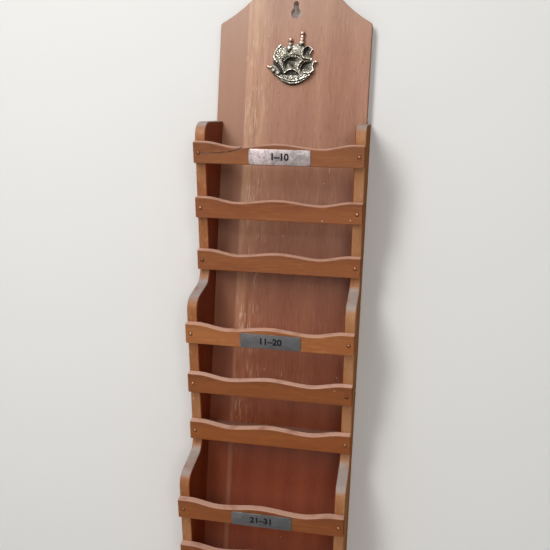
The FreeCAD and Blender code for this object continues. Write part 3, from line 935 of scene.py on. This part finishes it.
# Forms: outline, middle and the levels from the outline to the middle
EMBLEM_FORMS = (
    (FORE_SAIL, (-10.4, 3.0), dome(2.2, 4.2)),
    (TOP_SAIL, (3.2, 6.8), dome(2.9, 4.6)),
    (MAIN_SAIL, (-4.4, -2.4), bowl(4.6, 0.6)),
    (AFTER_TOP, (12.2, 7.0), bowl(4.5, 0.6)),
    (AFTER_SAIL, (10.8, -6.0), bowl(4.6, 0.6)),
    (HULL, (1.0, -18.4), dome(2.2, 4.6)),
    (STEM, (-15.6, -11.6), dome(1.8, 4.3)),
    (KEEL_WEB, (0.5, -14.5), [(1, WEB_LEVEL)]),
    (BOW_WEB, (-12.0, -8.5), [(1, WEB_LEVEL)]),
)
# Cast cords: points along, radius and how far each stands out from the board
EMBLEM_CORDS = (
    (((-11.4, 12.0), (-15.9, 6.4), (-17.1, 0.4), (-14.4, -3.4)), 1.05, 3.4),
    (((20.4, -3.6), (19.0, -7.6), (20.0, -10.9), (17.0, -13.4), (11.8, -13.4), (10.9, -11.0)), 0.8, 4.4),
    (((-14.6, -15.9), (-6.0, -19.8), (1.0, -20.9), (8.0, -19.6), (17.2, -15.4)), 0.6, 4.7),
    (((-13.0, -17.6), (-5.0, -22.1), (1.0, -23.1), (7.5, -21.9), (15.8, -17.2)), 0.5, 3.6),
    (((-23.0, -7.4), (-19.6, -9.4), (-15.6, -12.6), (-11.0, -15.0)), 1.1, 3.0),
    (((17.6, -2.6), (22.4, -3.0)), 0.8, 2.4),
    (((-2.6, 4.5), (-2.6, 17.0)), 1.15, 2.3),
    (((8.3, 4.5), (8.3, 23.4)), 1.15, 2.3),
)
# Cast balls: place, radius and how far the middle stands out
EMBLEM_BALLS = (
    (-22.8, -7.5, 1.7, 2.1), (-19.8, -8.4, 1.9, 2.8), (-17.0, -11.6, 2.4, 3.8), (-12.8, -14.0, 2.5, 4.1),
    (22.0, -3.0, 1.7, 2.3), (-2.6, 16.8, 2.4, 2.5), (-2.8, 12.4, 2.1, 2.5), (-3.2, 8.8, 2.9, 3.1),
    (8.3, 22.9, 2.4, 2.5), (8.2, 19.9, 1.6, 2.4), (8.1, 17.2, 2.2, 2.6), (7.7, 13.6, 2.9, 3.0),
)
# Small cast rings: gun ports along the hull and an eye on the fore sail, with how far each stands out
EMBLEM_RINGS = (
    (-9.6, -17.4, 4.6), (-5.0, -17.9, 5.0), (-0.2, -18.2, 5.1), (4.6, -18.0, 5.0),
    (9.2, -17.4, 4.8), (12.8, -16.6, 4.3), (-13.4, 5.0, 4.1),
)
RING_RADIUS = 1.15
RING_CORD = 0.5
RING_STEPS = 16
BRASS_BRIGHT = (0.90, 0.85, 0.76, 1)
BRASS_DULL = (0.235, 0.21, 0.152, 1)
BRASS_DARK = (0.012, 0.010, 0.007, 1)
COPPER = (0.72, 0.42, 0.32, 1)
# The way the painted light comes from, up and to the left
LIGHT_WAY = (-0.64, 0, 0.77)
DARK_BELOW = 1.8 * MM
BARE_ABOVE = 3.2 * MM
TIP_UP = 14 * MM
TIP_ASIDE = 20.5 * MM
CAST_DENT = 0.1 * MM


def on_emblem(x, z, out):
    return EMBLEM_AT + Vector((x, -out, z)) * MM


def press(clay, spots, faces):
    """Adds a closed form to the rest of the clay."""
    first = len(clay[0])
    clay[0].extend(spots)
    clay[1].extend([first + i for i in face] for face in faces)


def outline_points(points):
    """Points round an outline whose curves each pass through the point between two corners."""
    line = []
    for i in range(0, len(points), 2):
        first, through, last = (Vector(points[(i + k) % len(points)]) for k in range(3))
        pull = 2 * through - (first + last) / 2
        for step in range(OUTLINE_STEPS):
            t = step / OUTLINE_STEPS
            line.append(first * (1 - t) ** 2 + pull * (2 * t * (1 - t)) + last * t * t)
    return line


def cast_form(clay, outline, middle, levels):
    """A closed form on the board: rings draw in from the outline to the middle, each at its level."""
    centre = Vector(middle)
    line = outline_points(outline)
    count = len(line)
    spots = []
    for reach, level in [(1, -EMBLEM_SINK)] + levels:
        spots += [on_emblem(*centre.lerp(p, reach), level) for p in line]
    faces = [list(range(count))]
    for ring in range(len(levels)):
        first = ring * count
        for i in range(count):
            j = (i + 1) % count
            faces.append([first + i, first + count + i, first + count + j, first + j])
    crown = len(spots)
    spots.append(on_emblem(*centre, levels[-1][1]))
    for i in range(count):
        faces.append([crown - count + i, crown, crown - count + (i + 1) % count])
    press(clay, spots, faces)


def round_ball():
    """The points and faces of a ball of radius one."""
    work = bmesh.new()
    bmesh.ops.create_uvsphere(work, u_segments=BALL_SIDES, v_segments=BALL_RINGS, radius=1)
    made = [v.co.copy() for v in work.verts], [[v.index for v in f.verts] for f in work.faces]
    work.free()
    return made


unit_ball = round_ball()


def cast_ball(clay, x, z, radius, out):
    spots, faces = unit_ball
    press(clay, [on_emblem(x, z, out) + spot * radius * MM for spot in spots], faces)


def cast_cord(clay, points, radius, out):
    """A raised cord: balls set close along a smooth line."""
    spots = [Vector(p) for p in points]
    for i in range(len(spots) - 1):
        before, after = spots[max(i - 1, 0)], spots[min(i + 2, len(spots) - 1)]
        steps = max(2, int((spots[i + 1] - spots[i]).length / (0.5 * radius)))
        for step in range(steps + 1):
            t = step / steps
            a = spots[i] * 2 + (spots[i + 1] - before) * t
            b = (before * 2 - spots[i] * 5 + spots[i + 1] * 4 - after) * t * t
            c = (spots[i] * 3 - before - spots[i + 1] * 3 + after) * t ** 3
            cast_ball(clay, *((a + b + c) / 2), radius, out)


def emblem_blank():
    """All the casting's forms together, before they are melted into one skin."""
    clay = [], []
    for outline, middle, levels in EMBLEM_FORMS:
        cast_form(clay, outline, middle, levels)
    for points, radius, out in EMBLEM_CORDS:
        cast_cord(clay, points, radius, out)
    for ball in EMBLEM_BALLS:
        cast_ball(clay, *ball)
    turns = [2 * math.pi * i / RING_STEPS for i in range(RING_STEPS + 1)]
    for x, z, out in EMBLEM_RINGS:
        ring = [(x + RING_RADIUS * math.cos(a), z + RING_RADIUS * math.sin(a)) for a in turns]
        cast_cord(clay, ring, RING_CORD, out)
    mesh = bpy.data.meshes.new("emblem_blank")
    mesh.from_pydata(clay[0], [], clay[1])
    return mesh


def averaged(values, links, rounds):
    """Rows of values on a mesh's points, blended with their neighbours' a number of times."""
    share = np.zeros((len(values), 1))
    np.add.at(share, links.ravel(), 1.0)
    for _ in range(rounds):
        total = np.zeros_like(values)
        np.add.at(total, links[:, 0], values[links[:, 1]])
        np.add.at(total, links[:, 1], values[links[:, 0]])
        values = (values + total / share) / 2
    return values


def melt_emblem(blank):
    """Melts the forms into one skin, softens and seats it, and notes how deep each point lies."""
    holder = add_object("emblem_blank", blank)
    skin = holder.modifiers.new("one_skin", "REMESH")
    skin.mode = "VOXEL"
    skin.voxel_size = EMBLEM_GRAIN
    mesh = baked(holder)
    bpy.data.objects.remove(holder)
    links = np.array([edge.vertices for edge in mesh.edges])
    spots = averaged(np.array([vert.co for vert in mesh.vertices]), links, SOFTEN_ROUNDS)
    for i, point in enumerate(spots):
        coarse = noise.noise(Vector(point) * PEBBLE_SCALE)
        fine = noise.noise(Vector(point) * FINE_PEBBLE_SCALE)
        spots[i, 1] -= (coarse + 0.5 * fine) * CAST_PEBBLE
    depth = np.minimum(spots[:, 1:2], EMBLEM_AT.y)
    spots[:, 1:2] = depth
    hollow = (averaged(-depth, links, HOLLOW_ROUNDS) + depth).ravel() / MM
    mesh.vertices.foreach_set("co", spots.ravel())
    mesh.attributes.new("hollow", "FLOAT", "POINT").data.foreach_set("value", hollow)
    mesh.shade_smooth()
    mesh.update()
    return mesh


def antique_brass():
    made, tree, shader = new_material("antique_brass", Specular_IOR_Level=0.3)
    place = own_place(tree)
    x, y, z = axes(tree, place)
    grime = cloud(tree, place, 1000.0, 4.0)
    # Painted light: faces turned up to the left are painted brighter, faces turned down to the right
    # painted darker
    towards_light = agreement(tree, facing(tree), LIGHT_WAY)
    painted_lit = ramp(tree, towards_light, 0.1, 0.6)
    painted_shade = ramp(tree, towards_light, -0.05, -0.55)
    deep = calc(tree, "ADD", attribute(tree, "hollow"), graded(tree, grime, 2.6, -1.33))
    deep = graded(tree, painted_lit, -0.25, deep)
    deep = graded(tree, painted_shade, 0.42, deep)
    aside = calc(tree, "ABSOLUTE", calc(tree, "SUBTRACT", x, EMBLEM_AT.x))
    up = calc(tree, "SUBTRACT", z, EMBLEM_AT.z)
    end_tips = ramp(tree, aside, TIP_ASIDE - 1 * MM, TIP_ASIDE + 1 * MM)
    tips = calc(tree, "MAXIMUM", end_tips, ramp(tree, up, TIP_UP - 2 * MM, TIP_UP + 2 * MM))
    bright = tint(tree, times(tree, tips, 0.85), BRASS_BRIGHT, COPPER)
    dulled = times(tree, ramp(tree, deep, -0.5, -0.1), graded(tree, tips, -0.85, 1.0))
    colour = tint(tree, dulled, bright, BRASS_DULL)
    out = calc(tree, "SUBTRACT", EMBLEM_AT.y, y)
    # Dark crust low by the board, deepened by painted shade there, and less of it on the painted-lit side
    low = ramp(tree, out, DARK_BELOW, BARE_ABOVE, 1.0, 0.0)
    low = times(tree, low, graded(tree, painted_lit, -0.75, 1.0), graded(tree, tips, -0.8, 0.95))
    colour = tint(tree, calc(tree, "MAXIMUM", ramp(tree, deep, 0.06, 0.36), low), colour, BRASS_DARK)
    metal = graded(tree, dulled, -0.65, 1.0)
    rough = graded(tree, dulled, 0.3, 0.22)
    normal = relief(tree, grime, 0.4, CAST_DENT)
    feed(tree, shader, {"Base Color": colour, "Metallic": metal, "Roughness": rough, "Normal": normal})
    return made


emblem = add_piece("cast_ship", melt_emblem(emblem_blank()), antique_brass())
settle(emblem, "ship_emblem")

# Stage: a pale floor and a pale wall that the rack hangs on, a tall soft lamp in front, high on the left,
# and a weaker one farther off on the right. The wall shows only from in front, so the back can be seen.
# The world is pale where it is seen or reflected, and dimmer as light; the far floor fades into it.
FLOOR_SIZE = 12.0
FLOOR_COLOUR = (0.80, 0.79, 0.77, 1)
FLOOR_CLOUDED = (0.776, 0.7663, 0.7469, 1)
FLOOR_GLOW = 0.8
FLOOR_NEAR = 1.0
FLOOR_FAR = 4.0
WALL_SIZE = 5.0
WALL_GAP = 1 * MM
SKY_COLOUR = (0.86, 0.86, 0.86, 1)
SKY_LIGHT = 0.25
KEY_PLACE = (-0.40, -0.95, 0.45)
KEY_SIZES = (0.3, 0.9)
KEY_POWER = 9.2
FILL_PLACE = (0.6, -1.9, 0.1)
FILL_SIZES = (0.6, 0.6)
FILL_POWER = 7.5
LAMP_AIM = Vector((0, -0.03, -0.24))
CAMERA_PLACE = Vector((107.3, -661.3, -203.55)) * MM
CAMERA_TURN = (86.36, -2.85, 10.17)
CAMERA_LENS = 45.35
CAMERA_FILM = 36
CAMERA_NEAR = 0.01


def pale_sheet(name, size, place, **finish):
    """A flat square of the stage in its place: returns its material's tree and shader."""
    half = size / 2
    mesh = bpy.data.meshes.new(name)
    corners = [(-half, -half, 0), (half, -half, 0), (half, half, 0), (-half, half, 0)]
    mesh.from_pydata(corners, [], [(0, 1, 2, 3)])
    mesh.transform(place)
    made, tree, shader = new_material(name, **finish)
    add_piece(name, mesh, made)
    return tree, shader


def seen_rays(tree):
    """1 for what is seen, directly, in a reflection or through glass, and 0 for light."""
    ray = add(tree, "ShaderNodeLightPath").outputs
    seen = calc(tree, "MAXIMUM", ray["Is Camera Ray"], ray["Is Glossy Ray"])
    return calc(tree, "MAXIMUM", seen, ray["Is Transmission Ray"])


def pale_floor():
    """Pale paint, which glows far off so that the floor fades into the world."""
    down = Matrix.Translation((0, 0, cad_box[0].z))
    tree, shader = pale_sheet("pale_floor", FLOOR_SIZE, down, Roughness=0.8)
    place = own_place(tree)
    colour = tint(tree, cloud(tree, place, 3.0, 2.0), FLOOR_COLOUR, FLOOR_CLOUDED)
    away = add(tree, "ShaderNodeVectorMath", {0: place}, operation="LENGTH").outputs["Value"]
    glow = times(tree, seen_rays(tree), ramp(tree, away, FLOOR_NEAR, FLOOR_FAR, 0.0, FLOOR_GLOW))
    feed(tree, shader, {"Base Color": colour, "Emission Color": colour, "Emission Strength": glow})


def pale_wall():
    """Pale paint that only the camera sees, and only from in front."""
    middle = (0, WALL_GAP, cad_box[0].z + WALL_SIZE / 2)
    upright = Matrix.Translation(middle) @ Matrix.Rotation(math.pi / 2, 4, "X")
    tree, shader = pale_sheet("pale_wall", WALL_SIZE, upright, Base_Color=FLOOR_COLOUR, Roughness=0.9)
    front = calc(tree, "SUBTRACT", 1.0, add(tree, "ShaderNodeNewGeometry").outputs["Backfacing"])
    solid = times(tree, front, add(tree, "ShaderNodeLightPath").outputs["Is Camera Ray"])
    clear = add(tree, "ShaderNodeBsdfTransparent").outputs[0]
    mixed = add(tree, "ShaderNodeMixShader", {0: solid, 1: clear, 2: shader.outputs[0]}).outputs[0]
    feed(tree, tree.nodes["Material Output"], {"Surface": mixed})


def soft_lamp(name, place, sizes, power):
    """A lamp turned to the rack's middle."""
    lamp = bpy.data.lights.new(name, "AREA")
    lamp.shape = "RECTANGLE"
    lamp.size, lamp.size_y = sizes
    lamp.energy = power
    holder = add_object(name, lamp)
    holder.location = place
    holder.rotation_euler = (LAMP_AIM - Vector(place)).to_track_quat("-Z", "Y").to_euler()


def pale_world():
    world = bpy.data.worlds.new("pale_world")
    world.use_nodes = True
    tree = world.node_tree
    tree.nodes.clear()
    light = add(tree, "ShaderNodeBackground", {"Color": SKY_COLOUR, "Strength": SKY_LIGHT}).outputs[0]
    shown = add(tree, "ShaderNodeBackground", {"Color": SKY_COLOUR, "Strength": 1.0}).outputs[0]
    mixed = add(tree, "ShaderNodeMixShader", {0: seen_rays(tree), 1: light, 2: shown}).outputs[0]
    add(tree, "ShaderNodeOutputWorld", {"Surface": mixed})
    bpy.context.scene.world = world


pale_floor()
pale_wall()
soft_lamp("key", KEY_PLACE, KEY_SIZES, KEY_POWER)
soft_lamp("fill", FILL_PLACE, FILL_SIZES, FILL_POWER)
pale_world()
lens = bpy.data.cameras.new("photo_camera")
lens.lens = CAMERA_LENS
lens.sensor_width = CAMERA_FILM
lens.clip_start = CAMERA_NEAR
camera = add_object("photo_camera", lens)
camera.location = CAMERA_PLACE
camera.rotation_euler = [math.radians(a) for a in CAMERA_TURN]
bpy.context.scene.camera = camera
bpy.context.scene.view_settings.view_transform = "Standard"
